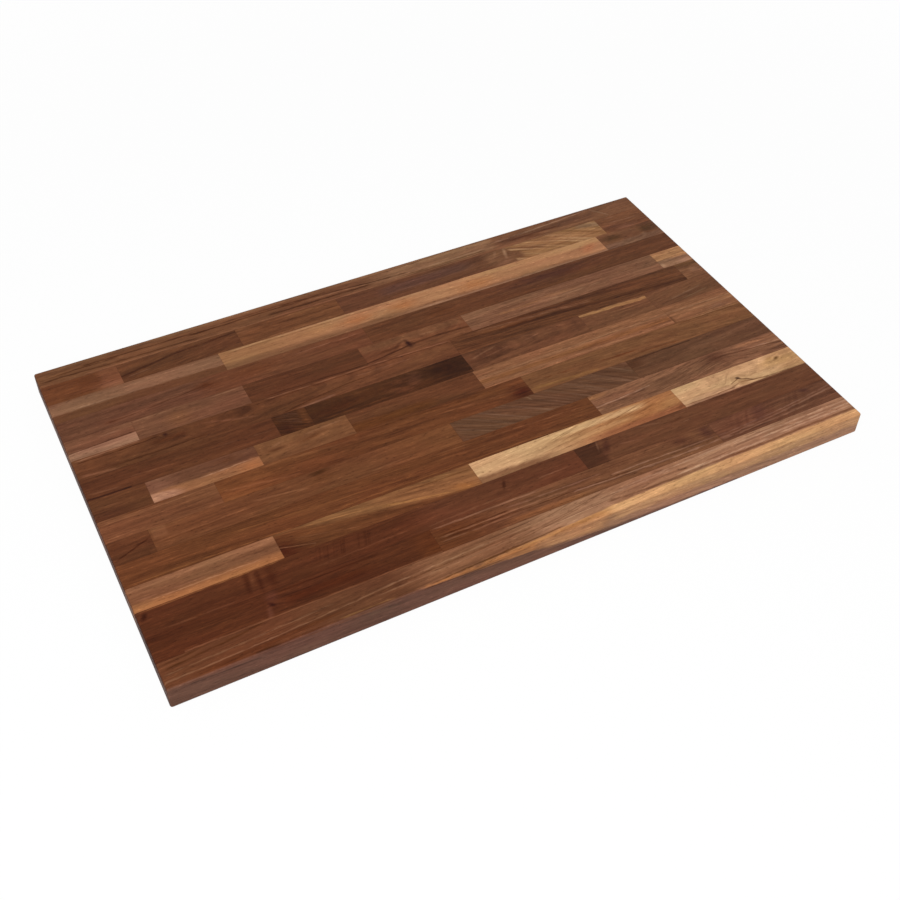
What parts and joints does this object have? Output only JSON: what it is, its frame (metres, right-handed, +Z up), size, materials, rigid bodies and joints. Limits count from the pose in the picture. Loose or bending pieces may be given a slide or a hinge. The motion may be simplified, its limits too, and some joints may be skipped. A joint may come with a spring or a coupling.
{
  "type": "butcher block countertop",
  "caption": "Rectangular walnut worktop slab glued up from rows of finger-jointed staves between full-length outer rails, with eased edges.",
  "frame": {"origin": "middle of the underside of the slab", "axes": "+X along the staves and the slab's length, to the right as seen from the front; +Y across the rows, from the front rail to the back rail; +Z up, out of the top face"},
  "size_m": [1.0668, 0.635, 0.0381],
  "materials": {
    "heartwood": "walnut heartwood, medium brown, sanded and oiled to a satin sheen",
    "dark_heartwood": "walnut heartwood, dark purple brown, sanded and oiled to a satin sheen",
    "light_heartwood": "walnut heartwood, light pinkish brown, sanded and oiled to a satin sheen",
    "sapwood": "walnut sapwood, golden tan with brown streaks, sanded and oiled to a satin sheen"
  },
  "bodies": {
    "root": {"front_rail": "heartwood", "row_02_stave_1": "dark_heartwood", "row_02_stave_2": "heartwood", "row_02_stave_3": "heartwood", "row_03_stave_1": "dark_heartwood", "row_03_stave_2": "heartwood", "row_04_stave_1": "light_heartwood", "row_04_stave_2": "light_heartwood", "row_04_stave_3": "sapwood", "row_04_stave_4": "sapwood", "row_05_stave_1": "heartwood", "row_05_stave_2": "light_heartwood", "row_06_stave_1": "dark_heartwood", "row_06_stave_2": "heartwood", "row_06_stave_3": "heartwood", "row_06_stave_4": "heartwood", "row_07_stave_1": "heartwood", "row_07_stave_2": "heartwood", "row_07_stave_3": "heartwood", "row_08_stave_1": "dark_heartwood", "row_08_stave_2": "light_heartwood", "row_08_stave_3": "light_heartwood", "row_08_stave_4": "heartwood", "row_08_stave_5": "light_heartwood", "row_08_stave_6": "light_heartwood", "row_09_stave_1": "heartwood", "row_09_stave_2": "dark_heartwood", "row_09_stave_3": "dark_heartwood", "row_09_stave_4": "heartwood", "row_09_stave_5": "heartwood", "row_09_stave_6": "heartwood", "row_10_stave_1": "heartwood", "row_10_stave_2": "dark_heartwood", "row_10_stave_3": "light_heartwood", "row_11_stave_1": "light_heartwood", "row_11_stave_2": "light_heartwood", "row_11_stave_3": "dark_heartwood", "row_11_stave_4": "heartwood", "row_11_stave_5": "light_heartwood", "row_11_stave_6": "light_heartwood", "row_12_stave_1": "heartwood", "row_12_stave_2": "dark_heartwood", "row_13_stave_1": "light_heartwood", "row_13_stave_2": "sapwood", "row_13_stave_3": "dark_heartwood", "row_14_stave_1": "heartwood", "row_14_stave_2": "dark_heartwood", "row_14_stave_3": "heartwood", "row_14_stave_4": "heartwood", "row_14_stave_5": "heartwood", "back_rail": "heartwood"}
  },
  "joints": []
}
